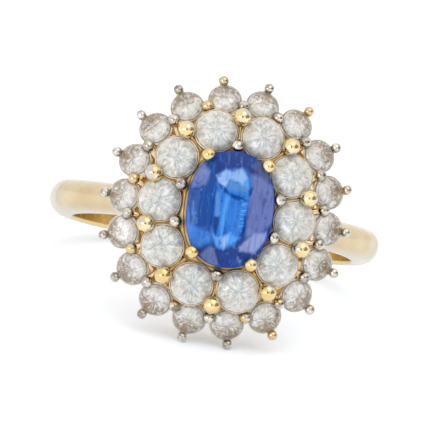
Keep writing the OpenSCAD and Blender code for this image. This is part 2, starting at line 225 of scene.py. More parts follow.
def newMaterial(name):
    material = bpy.data.materials.new(name)
    material.use_nodes = True
    tree = material.node_tree
    coords = tree.nodes.new("ShaderNodeTexCoord")
    return material, tree, tree.nodes["Principled BSDF"], coords.outputs["Object"]


def tone(red, green, blue):
    # A colour as the eye reads it, from 0 to 255, turned into light.
    displayGamma = 2.2
    return tuple((value / 255) ** displayGamma for value in (red, green, blue))


def grey(value):
    return (value, value, value)


def feed(tree, socket, source):
    # Gives a socket a number, a colour or another node's output.
    if isinstance(source, (int, float)):
        socket.default_value = source
    elif isinstance(source, tuple):
        socket.default_value = (*source, 1)
    else:
        tree.links.new(source, socket)


def noise(tree, coords, size, detail=2.0, roughness=0.5):
    # A noise whose blotches are about that many of the coordinates' units across.
    texture = tree.nodes.new("ShaderNodeTexNoise")
    texture.inputs["Scale"].default_value = 1 / size
    texture.inputs["Detail"].default_value = detail
    texture.inputs["Roughness"].default_value = roughness
    tree.links.new(coords, texture.inputs["Vector"])
    return texture.outputs["Fac"]


def ramp(tree, source, places, colours, stepped=False):
    # Colours placed along a value from 0 to 1, blended or in flat steps.
    node = tree.nodes.new("ShaderNodeValToRGB")
    band = node.color_ramp
    band.interpolation = "CONSTANT" if stepped else "LINEAR"
    while len(band.elements) < len(places):
        band.elements.new(0.5)
    for element, place, colour in zip(band.elements, places, colours):
        element.position = place
        element.color = (*colour, 1)
    tree.links.new(source, node.inputs["Fac"])
    return node.outputs["Color"]


def bump(tree, shader, height, strength, distance):
    node = tree.nodes.new("ShaderNodeBump")
    node.inputs["Strength"].default_value = strength
    node.inputs["Distance"].default_value = distance * mm
    tree.links.new(height, node.inputs["Height"])
    tree.links.new(node.outputs["Normal"], shader.inputs["Normal"])


def sums(tree, operation, *terms):
    # One step of arithmetic on values, each a number or another node's output.
    node = tree.nodes.new("ShaderNodeMath")
    node.operation = operation
    for socket, term in zip(node.inputs, terms):
        feed(tree, socket, term)
    return node.outputs["Value"]


def radiusOf(tree, x, y):
    # The root of x * x + y * y.
    squares = [sums(tree, "MULTIPLY", value, value) for value in (x, y)]
    return sums(tree, "SQRT", sums(tree, "ADD", *squares))


def vector(tree, x, y, z=0.0):
    # Three values, each a number or another node's output, as one vector.
    node = tree.nodes.new("ShaderNodeCombineXYZ")
    for socket, value in zip(node.inputs, (x, y, z)):
        feed(tree, socket, value)
    return node.outputs["Vector"]


def dotWith(tree, source, way):
    node = tree.nodes.new("ShaderNodeVectorMath")
    node.operation = "DOT_PRODUCT"
    tree.links.new(source, node.inputs[0])
    node.inputs[1].default_value = way
    return node.outputs["Value"]


def between(tree, value, low, high):
    # 0 at low, 1 at high and a smooth slope from one to the other. Low may be the larger number.
    node = tree.nodes.new("ShaderNodeMapRange")
    node.interpolation_type = "SMOOTHSTEP"
    node.inputs["From Min"].default_value = low
    node.inputs["From Max"].default_value = high
    tree.links.new(value, node.inputs["Value"])
    return node.outputs["Result"]


def blendTones(tree, share, first, second):
    # Goes from the first colour to the second as the share goes from 0 to 1.
    node = tree.nodes.new("ShaderNodeMix")
    node.data_type = "RGBA"
    for place, source in ((0, share), (6, first), (7, second)):
        feed(tree, node.inputs[place], source)
    return node.outputs[2]


# Where on their noises a metal's colours and roughness change, and how deep its dents are, in millimetres.
metalFinish = {"blotchAt": (0.35, 0.65), "grainAt": (0.3, 0.7), "dentDepth": 0.02}


def metalMaterial(name, look):
    # A polished metal: two close colours in soft blotches, patches of another one where the look has
    # them, a roughness that varies and soft dents.
    material, tree, shader, coords = newMaterial(name)
    shader.inputs["Metallic"].default_value = 1
    colour = ramp(tree, noise(tree, coords, look["blotch"] * mm, detail=3), metalFinish["blotchAt"],
                  (look["colour"], look["second"]))
    if "patch" in look:
        patches = noise(tree, coords, look["patchSize"] * mm, detail=1)
        colour = blendTones(tree, between(tree, patches, *look["patchAt"]), colour, look["patch"])
    tree.links.new(colour, shader.inputs["Base Color"])
    polish = ramp(tree, noise(tree, coords, look["grain"] * mm, detail=4), metalFinish["grainAt"],
                  (grey(look["smooth"]), grey(look["rough"])))
    tree.links.new(polish, shader.inputs["Roughness"])
    bump(tree, shader, noise(tree, coords, look["dents"] * mm), look["marks"], metalFinish["dentDepth"])
    return material


def alongAxis(tree, coords, axis):
    # How far a point lies from the middle of the finger hole along an axis, in millimetres.
    return sums(tree, "SUBTRACT", dotWith(tree, coords, axis / mm), float(ringCentre @ axis))


def shankMaterial():
    # The pale gold of the wire, with a paler, greyer painted sheen towards both sides of the band, a darker,
    # greyer painted shade where it turns away at both ends, and a deeper gold inside the finger hole painted as
    # bounced light.
    material = metalMaterial("paleYellowGold", paleLook)
    tree = material.node_tree
    shader = tree.nodes["Principled BSDF"]
    coords = tree.nodes.new("ShaderNodeTexCoord").outputs["Object"]
    x, y, z = (alongAxis(tree, coords, axis) for axis in (acrossAxis, fingerAxis, headAxis))
    colour = shader.inputs["Base Color"].links[0].from_socket
    # Painted light: the edge tone is a sheen on the band's sides, the end tone shade where the band turns away,
    # the inside tone bounce light.
    for distance, area in ((sums(tree, "ABSOLUTE", y), "edge"), (sums(tree, "ABSOLUTE", x), "shadedEnd"),
                           (radiusOf(tree, x, z), "inside")):
        colour = blendTones(tree, between(tree, distance, *paleLook[area + "At"]), colour, paleLook[area])
    tree.links.new(colour, shader.inputs["Base Color"])
    return material


# The shank's edge, end and inside tones are painted light: a paler sheen, a darker shade and a deeper
# bounce-lit gold.
paleLook = {"colour": (0.60, 0.46, 0.27), "second": (0.66, 0.54, 0.35), "blotch": 1.6, "grain": 0.6,
            "smooth": 0.2, "rough": 0.28, "dents": 1.2, "marks": 0.1, "edgeAt": (0.55, 1.15),
            "edge": (0.66, 0.60, 0.49), "shadedEndAt": (9.5, 10.65), "shadedEnd": (0.50, 0.45, 0.34),
            "insideAt": (9.2, 9.12), "inside": (0.78, 0.60, 0.28)}
# The gallery's gold: its own yellow gold, made richer and more ochre as painted light bounced between the gold
# parts.
deepGoldAndBounceLook = {"colour": (0.70, 0.50, 0.23), "second": (0.84, 0.66, 0.38), "blotch": 0.5, "grain": 0.2,
            "smooth": 0.14, "rough": 0.24, "dents": 0.2, "marks": 0.1}
ballLook = {"colour": (0.74, 0.53, 0.22), "second": (0.84, 0.70, 0.44), "blotch": 1.2, "grain": 0.15,
            "smooth": 0.06, "rough": 0.12, "dents": 0.3, "marks": 0.15,
            "patch": (0.60, 0.55, 0.47), "patchSize": 1.1, "patchAt": (0.53, 0.63)}
# The collar's darker gold is painted shade under the centre stone.
collarShadeLook = {"colour": (0.36, 0.23, 0.08), "second": (0.48, 0.33, 0.14), "blotch": 0.8, "grain": 0.2,
              "smooth": 0.4, "rough": 0.5, "dents": 0.2, "marks": 0.1}
silverLook = {"colour": (0.66, 0.65, 0.62), "second": (0.80, 0.77, 0.72), "blotch": 0.8, "grain": 0.2,
              "smooth": 0.2, "rough": 0.3, "dents": 0.2, "marks": 0.1}
# The gap gold, lighter and more ochre than the rest, paints the light bounced into the recesses round the
# collar.
gapBounceLitLook = {"colour": (0.86, 0.60, 0.26), "second": (0.94, 0.76, 0.45), "blotch": 0.8, "grain": 0.2,
           "smooth": 0.5, "rough": 0.6, "dents": 0.2, "marks": 0.1}
# The claws' white metal with golden patches; its darkest blotches are painted dark reflections on the balls.
whiteAndReflectionLook = {"colour": (0.27, 0.23, 0.18), "second": (0.74, 0.70, 0.62), "blotch": 0.45, "grain": 0.12,
             "smooth": 0.05, "rough": 0.12, "dents": 0.2, "marks": 0.35,
             "patch": (0.66, 0.50, 0.28), "patchSize": 2.2, "patchAt": (0.56, 0.66)}
# The lips' paler metal paints the thin highlight line round each stone.
rimLook = {"colour": (0.62, 0.53, 0.40), "second": (0.80, 0.73, 0.62), "blotch": 0.6, "grain": 0.12,
           "smooth": 0.3, "rough": 0.4, "dents": 0.2, "marks": 0.1}
paleGold = shankMaterial()
deepGoldAndBounce = metalMaterial("deepYellowGoldAndBounce", deepGoldAndBounceLook)
collarShadeGold = metalMaterial("collarYellowGoldShaded", collarShadeLook)
gapBounceLitGold = metalMaterial("gapYellowGoldBounceLit", gapBounceLitLook)
silverCup = metalMaterial("silverCup", silverLook)
ballGold = metalMaterial("polishedBallGold", ballLook)
whiteAndReflectionMetal = metalMaterial("whiteClawMetalAndReflections", whiteAndReflectionLook)
rimMetal = metalMaterial("paleRimHighlight", rimLook)


def stoneShares(tree, coords, centre, axes, half):
    # The stone's own coordinates: 0 in its middle and 1 at its girdle, along its width, length and depth.
    # Returned whole, and the first two on their own.
    mapping = tree.nodes.new("ShaderNodeMapping")
    mapping.vector_type = "TEXTURE"
    mapping.inputs["Location"].default_value = Vector(centre)
    mapping.inputs["Rotation"].default_value = Matrix([list(axis) for axis in axes]).transposed().to_euler()
    mapping.inputs["Scale"].default_value = (half[0] * mm, half[1] * mm, half[0] * mm)
    tree.links.new(coords, mapping.inputs["Vector"])
    split = tree.nodes.new("ShaderNodeSeparateXYZ")
    tree.links.new(mapping.outputs["Vector"], split.inputs[0])
    return mapping.outputs["Vector"], split.outputs["X"], split.outputs["Y"]


def facetArea(tree, flat, corners, soft):
    # 1 inside a convex facet given by its corners, from the least of the distances from its sides.
    points = np.array(corners, float)
    after = np.roll(points, -1, 0)
    run = after - points
    sense = np.sign(np.sum(points[:, 0] * after[:, 1] - points[:, 1] * after[:, 0]))
    normal = sense * np.stack([-run[:, 1], run[:, 0]], -1) / np.linalg.norm(run, axis=1, keepdims=True)
    least = None
    for side, start in zip(normal, points):
        distance = dotWith(tree, flat, (side[0], side[1], -side @ start))
        least = distance if least is None else sums(tree, "MINIMUM", least, distance)
    return between(tree, least, -soft, soft)


# Deep and royal are the stone's own blue; lighter blues paint returned light, violet, lilac, slate and dull
# paint reflections, glint paints glints, shade, gloom and edge paint shade.
blueTones = {"deep": tone(20, 50, 120), "royal": tone(27, 67, 145), "gloom": tone(44, 68, 128),
             "cobalt": tone(56, 120, 208), "bright": tone(84, 158, 236), "sky": tone(142, 182, 236),
             "pale": tone(164, 194, 238), "violet": tone(108, 122, 182), "lilac": tone(146, 160, 214),
             "slate": tone(84, 96, 140), "dull": tone(94, 110, 162), "dusk": tone(90, 138, 206),
             "shade": tone(14, 72, 150), "mist": tone(84, 138, 200), "glint": tone(66, 124, 218),
             "edge": tone(24, 66, 168)}

# What shows in the centre stone as painted light and shade, painted in this order: its tone, how soft its edges
# are and its corners as shares of the half width and half length.
centreFacets = [
    ("shade", 0.05, [(-1.1, 0.5), (-0.5, 0.9), (-0.38, 0.4), (-0.36, -0.5), (-0.6, -0.85), (-1.1, -0.4)]),
    ("violet", 0.05, [(-0.78, 0.78), (-0.96, 0.48), (-0.94, 0.3), (-0.62, 0.36), (-0.55, 0.6)]),
    ("cobalt", 0.06, [(-1.02, -0.3), (-0.56, -0.4), (-0.37, -0.47), (-0.36, -0.61), (-0.57, -0.7),
                       (-0.85, -0.75)]),
    ("dull", 0.03, [(-0.57, -0.83), (-0.37, -0.66), (-0.28, -0.69), (-0.12, -0.96), (-0.3, -1.0)]),
    ("violet", 0.06, [(0.36, 0.62), (0.74, 0.66), (1.02, 0.42), (1.05, 0.11), (1.0, -0.15), (0.7, -0.4),
                     (0.42, -0.45)]),
    ("lilac", 0.04, [(0.28, -0.48), (0.56, -0.4), (0.86, -0.16), (0.9, -0.4), (0.69, -0.7), (0.3, -0.68)]),
    ("slate", 0.05, [(0.34, 0.7), (0.5, 0.9), (0.9, 0.62), (0.95, 0.4), (0.7, 0.56)]),
    ("cobalt", 0.05, [(-0.38, 0.53), (-0.22, 0.66), (0.16, 0.71), (0.31, 0.67), (0.52, 0.36), (0.48, -0.31),
                      (0.27, -0.49), (0.24, -0.66), (-0.22, -0.68), (-0.38, -0.48)]),
    ("mist", 0.05, [(-0.13, 0.51), (0.2, 0.46), (0.36, 0.39), (0.35, 0.29), (-0.12, 0.31)]),
    ("shade", 0.03, [(0.33, 0.44), (0.46, 0.38), (0.38, 0.24), (0.34, 0.28)]),
    ("sky", 0.04, [(-0.4, 0.53), (-0.22, 0.66), (-0.03, 0.61), (-0.13, 0.51), (-0.34, 0.41)]),
    ("pale", 0.04, [(-0.34, 0.41), (-0.13, 0.51), (-0.19, 0.35)]),
    ("sky", 0.04, [(-0.13, 0.51), (-0.03, 0.61), (0.16, 0.71), (0.3, 0.56), (0.21, 0.43)]),
    ("bright", 0.03, [(0.21, 0.43), (0.3, 0.56), (0.36, 0.39)]),
    ("dusk", 0.04, [(-0.38, 0.27), (-0.28, 0.25), (-0.25, -0.16), (-0.35, -0.17)]),
    ("bright", 0.05, [(-0.22, 0.26), (-0.08, 0.19), (-0.1, -0.21), (-0.13, -0.52), (-0.24, -0.49),
                      (-0.19, -0.15)]),
    ("gloom", 0.03, [(-0.37, -0.17), (-0.24, -0.15), (-0.24, -0.39), (-0.28, -0.5), (-0.35, -0.38)]),
    ("bright", 0.04, [(-0.32, -0.49), (-0.21, -0.52), (-0.06, -0.69), (-0.22, -0.66)]),
    ("sky", 0.05, [(-0.21, -0.52), (0.06, -0.44), (0.04, -0.59), (-0.06, -0.69)]),
    ("bright", 0.05, [(0.06, -0.44), (0.27, -0.48), (0.17, -0.63), (0.04, -0.59)]),
    ("shade", 0.03, [(-0.4, 0.43), (-0.16, 0.34), (-0.04, 0.22), (-0.22, 0.27)]),
    ("shade", 0.02, [(-0.06, 0.27), (0.16, 0.225), (0.36, 0.17), (0.16, 0.15), (-0.04, 0.2)]),
    ("glint", 0.03, [(-0.88, 0.07), (-0.83, 0.05), (-0.82, -0.19), (-0.87, -0.16)]),
    ("glint", 0.04, [(-0.99, 0.0), (-0.94, -0.1), (-0.83, -0.52), (-0.93, -0.3)]),
]
centreLook = {"bending": 1.77, "clearness": 0.15, "rough": 0.03, "shine": 0.04,
              "baseSize": 0.35, "baseAt": (0.3, 0.7), "wander": 0.08, "wanderSize": 0.22,
              "stripes": [(0.2, 0.24), (0.34, 0.25), (0.36, -0.22), (0.28, -0.36), (0.2, -0.1)],
              "stripeSoft": 0.04, "stripeSize": 0.03, "stripeLength": 0.15, "stripeAt": (0.5, 0.62),
              "streakSize": 0.07, "streakLength": 0.14, "cloudSize": 0.16, "cloudRoughness": 0.65,
              "streaks": [("deep", 0.46, 0.36, 0.3), ("bright", 0.54, 0.7, 0.24)],
              "clouds": [("deep", 0.45, 0.3, 0.5), ("sky", 0.56, 0.72, 0.35)],
              "edge": (0.93, 0.99), "edgeShare": 0.7}


def centreStoneMaterial():
    # The facets' painted light and shade laid over one another, their edges made a little uneven, with fine
    # growth lines, streaks along the stone, clouds and a darker edge of painted shade.
    material, tree, shader, coords = newMaterial("deepBlueStone")
    shares, x, y = stoneShares(tree, coords, lay(turnedHead(np.zeros(3))), centreAxes, head["centreHalf"])
    wander = centreLook["wander"]
    shift = sums(tree, "MULTIPLY_ADD", noise(tree, shares, centreLook["wanderSize"], detail=3), wander,
                 -wander / 2)
    flat = vector(tree, sums(tree, "ADD", x, shift), sums(tree, "SUBTRACT", y, shift), 1)
    colour = ramp(tree, noise(tree, shares, centreLook["baseSize"], detail=3), centreLook["baseAt"],
                  (blueTones["deep"], blueTones["royal"]))
    for name, soft, corners in centreFacets:
        colour = blendTones(tree, facetArea(tree, flat, corners, soft), colour, blueTones[name])
    lines = vector(tree, sums(tree, "MULTIPLY", x, centreLook["stripeLength"]), y)
    growth = between(tree, noise(tree, lines, centreLook["stripeSize"]), *centreLook["stripeAt"])
    striped = sums(tree, "MULTIPLY", growth,
                   facetArea(tree, flat, centreLook["stripes"], centreLook["stripeSoft"]))
    colour = blendTones(tree, striped, colour, blueTones["bright"])
    grain = vector(tree, x, sums(tree, "MULTIPLY", y, centreLook["streakLength"]))
    streaks = noise(tree, grain, centreLook["streakSize"], detail=3)
    clouds = noise(tree, shares, centreLook["cloudSize"], 4, centreLook["cloudRoughness"])
    for source, entries in ((streaks, centreLook["streaks"]), (clouds, centreLook["clouds"])):
        for name, low, high, most in entries:
            share = sums(tree, "MULTIPLY", between(tree, source, low, high), most)
            colour = blendTones(tree, share, colour, blueTones[name])
    # A darker edge round the girdle: painted shade.
    reach = [sums(tree, "POWER", sums(tree, "ABSOLUTE", value), head["cushionPower"]) for value in (x, y)]
    rim = between(tree, sums(tree, "ADD", *reach), *centreLook["edge"])
    colour = blendTones(tree, sums(tree, "MULTIPLY", rim, centreLook["edgeShare"]), colour, blueTones["edge"])
    tree.links.new(colour, shader.inputs["Base Color"])
    shader.inputs["IOR"].default_value = centreLook["bending"]
    shader.inputs["Specular IOR Level"].default_value = centreLook["shine"]
    shader.inputs["Transmission Weight"].default_value = centreLook["clearness"]
    shader.inputs["Roughness"].default_value = centreLook["rough"]
    return material


# The round stones' tones and how much each shows: milky for the inner tier and clear for the outer one. Beside
# the stones' own tints, the tones paint the light of their facets: highlights, dark reflections and shade.
milkyLook = {"light": tone(253, 253, 251), "middle": tone(208, 208, 202), "dark": tone(166, 168, 166),
             "line": tone(144, 144, 138), "lineShare": 0.45, "kiteShare": 0.35,
             "wedge": tone(238, 222, 204), "wedgeShare": 0.4, "shade": tone(206, 208, 204),
             "shadeShare": 0.25, "ringShare": 0.12, "heart": tone(210, 218, 219), "heartShare": 0.4,
             "warm": tone(236, 220, 200), "warmShare": 0.35, "litShare": 0.1, "rim": tone(246, 236, 218),
             "clearness": 0.25, "bending": 1.9}
clearLook = {"light": tone(255, 254, 250), "middle": tone(188, 177, 158), "dark": tone(112, 98, 80),
             "line": tone(96, 80, 62), "lineShare": 0.45, "kiteShare": 0.8,
             "wedge": tone(148, 120, 82), "wedgeShare": 0.8, "shade": tone(146, 128, 104),
             "shadeShare": 0.75, "ringShare": 0.28, "heart": tone(216, 212, 204), "heartShare": 0.25,
             "warm": tone(224, 201, 162), "warmShare": 0.45, "litShare": 0.68, "rim": tone(214, 210, 204),
             "clearness": 0.3, "bending": 1.9}

# The cut of both: sizes and places are shares of the stone's radius, and a pair ending in At says
# where a noise or a place starts to count and where it counts in full.
cutLook = {"points": 8, "star": 0.5, "starDepth": 0.09, "starSoft": 0.03,
           "kites": 1.3, "kiteLength": 2.2, "kiteScale": 2, "kiteSteps": (0, 0.18, 0.5, 0.8),
           "needle": 0.26, "fineNeedle": 0.16, "needleLength": 0.7, "needleSteps": (0.38, 0.52, 0.64),
           "brightAt": (0.56, 0.66), "brightShare": 0.8, "darkAt": (0.44, 0.34),
           "warmSize": 0.7, "warmAt": (0.48, 0.6), "litAt": (0.1, -0.5),
           "arcFrom": (0.15, 0.5), "arcOut": (-0.1, 0.35),
           "glints": 0.26, "glintShare": 0.6, "glintAt": (0.58, 0.66), "speckAt": (0.4, 0.32),
           "wedgeFrom": 0.06, "wedgeTo": ((0.78, -0.3), (0.86, 0.25)), "wedgeLean": 0.5, "wedgeSoft": 0.04,
           "ring": 0.86, "ringAt": (0.04, 0.01), "edgeAt": (0.93, 0.96), "rough": 0.02}

# How far each pattern moves on from one stone to the next.
seedSteps = {"needle": 3.1, "kite": 3.7, "fine": 5.3, "lean": 2.4}


def kites(tree, angle, radius, seed):
    # Flat-toned facets: cells on a cylinder whose turn is the angle and whose height is the radius.
    place = vector(tree, sums(tree, "MULTIPLY", sums(tree, "COSINE", angle), cutLook["kites"]),
                   sums(tree, "MULTIPLY", sums(tree, "SINE", angle), cutLook["kites"]),
                   sums(tree, "MULTIPLY_ADD", radius, cutLook["kiteLength"], seedSteps["kite"] * seed))
    cells = tree.nodes.new("ShaderNodeTexVoronoi")
    cells.inputs["Scale"].default_value = cutLook["kiteScale"]
    tree.links.new(place, cells.inputs["Vector"])
    split = tree.nodes.new("ShaderNodeSeparateColor")
    tree.links.new(cells.outputs["Color"], split.inputs[0])
    return split.outputs[0]


def rays(tree, angle, radius, size, shift):
    # Needles from the middle outwards: a noise on a cylinder, drawn out along the radius.
    place = vector(tree, sums(tree, "COSINE", angle), sums(tree, "SINE", angle),
                   sums(tree, "MULTIPLY_ADD", radius, cutLook["needleLength"], shift))
    return noise(tree, place, size, detail=3)


def roundStoneMaterial(name, look, centre, axes, width, seed):
    # Painted facet light: bright and dark needles from the middle out, painted highlights and dark reflections,
    # over kite-shaped facets in painted tones, a tinted heart, warm patches, a painted lit inner side, a darker
    # arc of painted shade and a wedge on the outer side, painted glints, a fine ring and a rim.
    material, tree, shader, coords = newMaterial(name)
    shares, x, y = stoneShares(tree, coords, centre, axes, (width / 2, width / 2))
    radius = radiusOf(tree, x, y)
    angle = sums(tree, "ARCTAN2", y, x)

    def over(share, most, colour, tint):
        return blendTones(tree, sums(tree, "MULTIPLY", share, most), colour, tint)

    corners = sums(tree, "COSINE", sums(tree, "MULTIPLY", angle, cutLook["points"]))
    outside = between(tree, sums(tree, "MULTIPLY_ADD", corners, cutLook["starDepth"], radius),
                      cutLook["star"] - cutLook["starSoft"], cutLook["star"] + cutLook["starSoft"])
    # Needles and kites: painted highlights and dark reflections of the facets.
    needles = rays(tree, angle, radius, cutLook["needle"], seedSteps["needle"] * seed)
    colour = ramp(tree, needles, cutLook["needleSteps"], (look["dark"], look["middle"], look["light"]))
    facets = ramp(tree, kites(tree, angle, radius, seed), cutLook["kiteSteps"],
                  (look["dark"], look["middle"], look["light"], look["middle"]), stepped=True)
    colour = over(outside, look["kiteShare"], colour, facets)
    colour = over(sums(tree, "SUBTRACT", 1, outside), look["heartShare"], colour, look["heart"])
    patches = between(tree, noise(tree, shares, cutLook["warmSize"], detail=1), *cutLook["warmAt"])
    colour = over(patches, look["warmShare"], colour, look["warm"])
    colour = over(between(tree, x, *cutLook["litAt"]), look["litShare"], colour, look["light"])
    arc = sums(tree, "MULTIPLY", between(tree, radius, *cutLook["arcFrom"]),
               between(tree, x, *cutLook["arcOut"]))
    colour = over(arc, look["shadeShare"], colour, look["shade"])
    fine = rays(tree, angle, radius, cutLook["fineNeedle"], seedSteps["fine"] * seed)
    colour = over(between(tree, fine, *cutLook["brightAt"]), cutLook["brightShare"], colour, look["light"])
    colour = over(between(tree, fine, *cutLook["darkAt"]), look["lineShare"], colour, look["line"])
    glints = noise(tree, shares, cutLook["glints"])
    colour = over(between(tree, glints, *cutLook["glintAt"]), cutLook["glintShare"], colour, look["light"])
    colour = over(between(tree, glints, *cutLook["speckAt"]), look["lineShare"], colour, look["line"])
    lean = cutLook["wedgeLean"] * math.sin(seedSteps["lean"] * seed)
    wedge = [(cutLook["wedgeFrom"], 0.0)] + [(out, lean + aside) for out, aside in cutLook["wedgeTo"]]
    colour = over(facetArea(tree, vector(tree, x, y, 1), wedge, cutLook["wedgeSoft"]), look["wedgeShare"],
                  colour, look["wedge"])
    offRing = sums(tree, "ABSOLUTE", sums(tree, "SUBTRACT", radius, cutLook["ring"]))
    colour = over(between(tree, offRing, *cutLook["ringAt"]), look["ringShare"], colour, look["line"])
    colour = blendTones(tree, between(tree, radius, *cutLook["edgeAt"]), colour, look["rim"])
    tree.links.new(colour, shader.inputs["Base Color"])
    shader.inputs["IOR"].default_value = look["bending"]
    shader.inputs["Transmission Weight"].default_value = look["clearness"]
    shader.inputs["Roughness"].default_value = cutLook["rough"]
    return material


def headToWorld(direction):
    # A direction of the head's frame in the row frame.
    x, y, z = direction
    return x * acrossAxis + y * fingerAxis + z * headAxis


turn = math.radians(head["centreTurn"])
centreAxes = [headToWorld(axis) for axis in ((math.cos(turn), math.sin(turn), 0),
                                             (-math.sin(turn), math.cos(turn), 0), (0, 0, 1))]


def dress(name, material):
    node = frame["nodes"][name]
    node.data.materials.clear()
    node.data.materials.append(material)


def dressTier(tier, look):
    # Each stone gets the tier's material, centred and turned on itself.
    half, level, tilt = head[tier + "Half"], head[tier + "Level"], head[tier + "Tilt"]
    for k, degrees in enumerate(tierAngles(head[tier + "Count"])):
        centre = lay(beside(degrees, half, 0, level))
        axes = [headToWorld(axis) for axis in stoneAxes(outward(degrees, half), tilt)]
        dress(f"{tier}_stone_{k + 1:02d}",
              roundStoneMaterial(f"{tier}Stone{k + 1}", look, centre, axes, head[tier + "Width"], k))


# The centre stone, cut with a smooth girdle: each level's shares of the half width and half length,
# its height and how round its outline is, from the table down to the keel.
centreCut = {"levels": [(0, 0, 0.95, 0), (0.46, 0.66, 0.95, 0), (0.78, 0.84, 0.32, 0), (1, 1, 0.04, 1),
                        (1, 1, -0.04, 1), (0.72, 0.8, -0.95, 0), (0.4, 0.58, -1.73, 0), (0.03, 0.3, -2.2, 0),
                        (0, 0, -2.2, 0)],
             "corners": 8, "sideSteps": 8}


def centreStoneGrid():
    # Levels of an outline that goes from an eight-cornered cushion to the whole one: corner to corner
    # in straight steps, or the cushion itself at as many points.
    corners, steps = centreCut["corners"], centreCut["sideSteps"]
    level = np.array(centreCut["levels"], float)
    half = head["centreHalf"] * level[:, :2]
    around = (np.arange(corners * steps) / steps + 0.5) * 2 * math.pi / corners
    start = (np.arange(corners * steps) // steps + 0.5) * 2 * math.pi / corners
    share = (np.arange(corners * steps) % steps / steps)[None, :, None]
    first = cushion(start[None, :], half[:, None, :])
    last = cushion(start[None, :] + 2 * math.pi / corners, half[:, None, :])
    straight = first + share * (last - first)
    whole = cushion(around[None, :], half[:, None, :])
    flat = straight + level[:, 3, None, None] * (whole - straight)
    height = np.broadcast_to(level[:, 2, None], flat.shape[:2])
    return turnedHead(np.concatenate([flat, height[..., None]], -1))[None]


makePiece("centreStone", [centreStoneGrid()], centreStoneMaterial(), node="centre_stone",
          smooth=False)
dressTier("inner", milkyLook)
dressTier("outer", clearLook)
print("stones dressed")

# Shank: half-round wire round the finger that narrows above the middle and rises to the base rail.
shank = {"holeRadius": 9.1, "width": 2.44, "thickness": 1.6, "shoulderWidth": 1.75, "barWidth": 1.6,
         "barAngle": 32, "stopRadius": 5.06, "leastFacing": 0.2, "sharpness": 60, "turnBack": 1.88,
         "around": 260, "arcPoints": 30, "insidePoints": 10}


def shankGrid():
    # A half-round profile carried round the finger hole. At the angle f above the middle its outside
    # is the farther of the circle hole + thickness and the line of the shoulder bar, and its half
    # width shrinks in proportion to the height above the middle.
    hole, outside = shank["holeRadius"], shank["holeRadius"] + shank["thickness"]
    wireRadius = shank["width"] / 2
    leave = math.radians(shank["barAngle"])
    barStart = (outside - wireRadius) * np.array([math.cos(leave), math.sin(leave)])
    barEnd = np.array([head["railRadius"], head["railLevel"]])
    along = (barEnd - barStart) / np.linalg.norm(barEnd - barStart)
    normal = np.array([along[1], -along[0]])
    offset = barStart @ normal + shank["barWidth"] / 2
    side = np.linspace(-1, 1, shank["around"])[:, None]
    full = math.pi / 2 + math.acos(shank["stopRadius"] / outside)
    f = np.abs(side) * full - math.pi / 2
    facing = np.maximum(np.cos(f) * normal[0] + np.sin(f) * normal[1], shank["leastFacing"])
    barOut = np.where(f > leave / 2, offset / facing, 0)
    sharp = shank["sharpness"]
    reach = (outside ** sharp + barOut ** sharp) ** (1 / sharp)
    start = -shank["turnBack"]
    v = np.linspace(start, -start, shank["arcPoints"])
    arc = np.stack([(np.cos(v) - math.cos(start)) / (1 - math.cos(start)), np.sin(v)], -1)
    inner = np.linspace(arc[-1, 1], arc[0, 1], shank["insidePoints"] + 2)[1:-1]
    flat = np.stack([0 * inner, inner], -1)
    profile = np.concatenate([arc, flat])
    rho = hole + (reach - hole) * profile[None, :, 0]
    level = rho * np.sin(f)
    share = np.clip(level / head["railLevel"], 0, 1)
    half = wireRadius + (shank["shoulderWidth"] / 2 - wireRadius) * share
    y = half * profile[None, :, 1]
    ends = math.pi / 2 + np.arccos(np.clip(shank["stopRadius"] / rho, -1, 1))
    angle = side * ends
    grid = np.stack([rho * np.sin(angle), y, -rho * np.cos(angle)], -1)
    caps = [np.broadcast_to(grid[i].mean(0), grid[i].shape)[None] for i in (0, -1)]
    return np.concatenate([caps[0], grid, caps[1]])[None]


makePiece("shank", [shankGrid()], paleGold)

# Rails: the two round wires that carry the claws.
rails = {"baseWidth": 0.95, "upperRadius": 5.99974, "upperWidth": 0.6, "upperRise": 1.0}
makePiece("baseRail", [loopGrid(roundProfile(head["railRadius"], head["railLevel"], rails["baseWidth"]))],
          deepGoldAndBounce, wrapRows=True)
makePiece("upperRail", [loopGrid(roundProfile(rails["upperRadius"], head["railLevel"] + rails["upperRise"],
                                              rails["upperWidth"]))],
          deepGoldAndBounce, wrapRows=True)

# Collar: the wall under the centre stone, in a darker gold that paints the shade beneath the stone.
collar = {"out": 0.12, "thickness": 0.72, "height": 1.75, "below": 0.75, "bevel": 0.07, "edge": 0.06}


def cushionLoop(profile, columns=120):
    # A closed profile of (reach, height) carried round the cushion outline, the reach added to both
    # half widths.
    profile = np.array(profile)
    around = np.linspace(0, 2 * math.pi, columns, endpoint=False)[None, :]
    half = head["centreHalf"] + profile[:, 0:1]
    flat = cushion(around, half[:, None, :])
    level = np.broadcast_to(profile[:, 1:2], flat.shape[:2])
    return turnedHead(np.concatenate([flat, level[..., None]], -1))[None]


def collarProfile():
    # From the outer wall's top down, under and up again, with small edges and a bevel inside the top.
    top, bottom = -collar["below"], -collar["below"] - collar["height"]
    t, e, b = collar["thickness"], collar["edge"], collar["bevel"]
    steps = [(e, top), (0, top - e), (0, bottom + e), (e, bottom), (t - e, bottom), (t, bottom + e),
             (t, top - b), (t - b / 2, top - b / 2), (t - b, top)]
    return [(collar["out"] - inset, height) for inset, height in steps]


makePiece("centreCollar", [cushionLoop(collarProfile())], collarShadeGold, wrapRows=True)

# Fillet: the solder that slopes from the collar's top down under the inner cups' rims, in a lighter gold that
# paints bounce light in the gap.
fillet = {"profile": [(0.08, -0.8), (0.2, -0.82), (0.62, -1.12), (0.62, -1.25), (0.08, -1.25)]}
makePiece("collarFillet", [cushionLoop(fillet["profile"])], gapBounceLitGold, wrapRows=True)

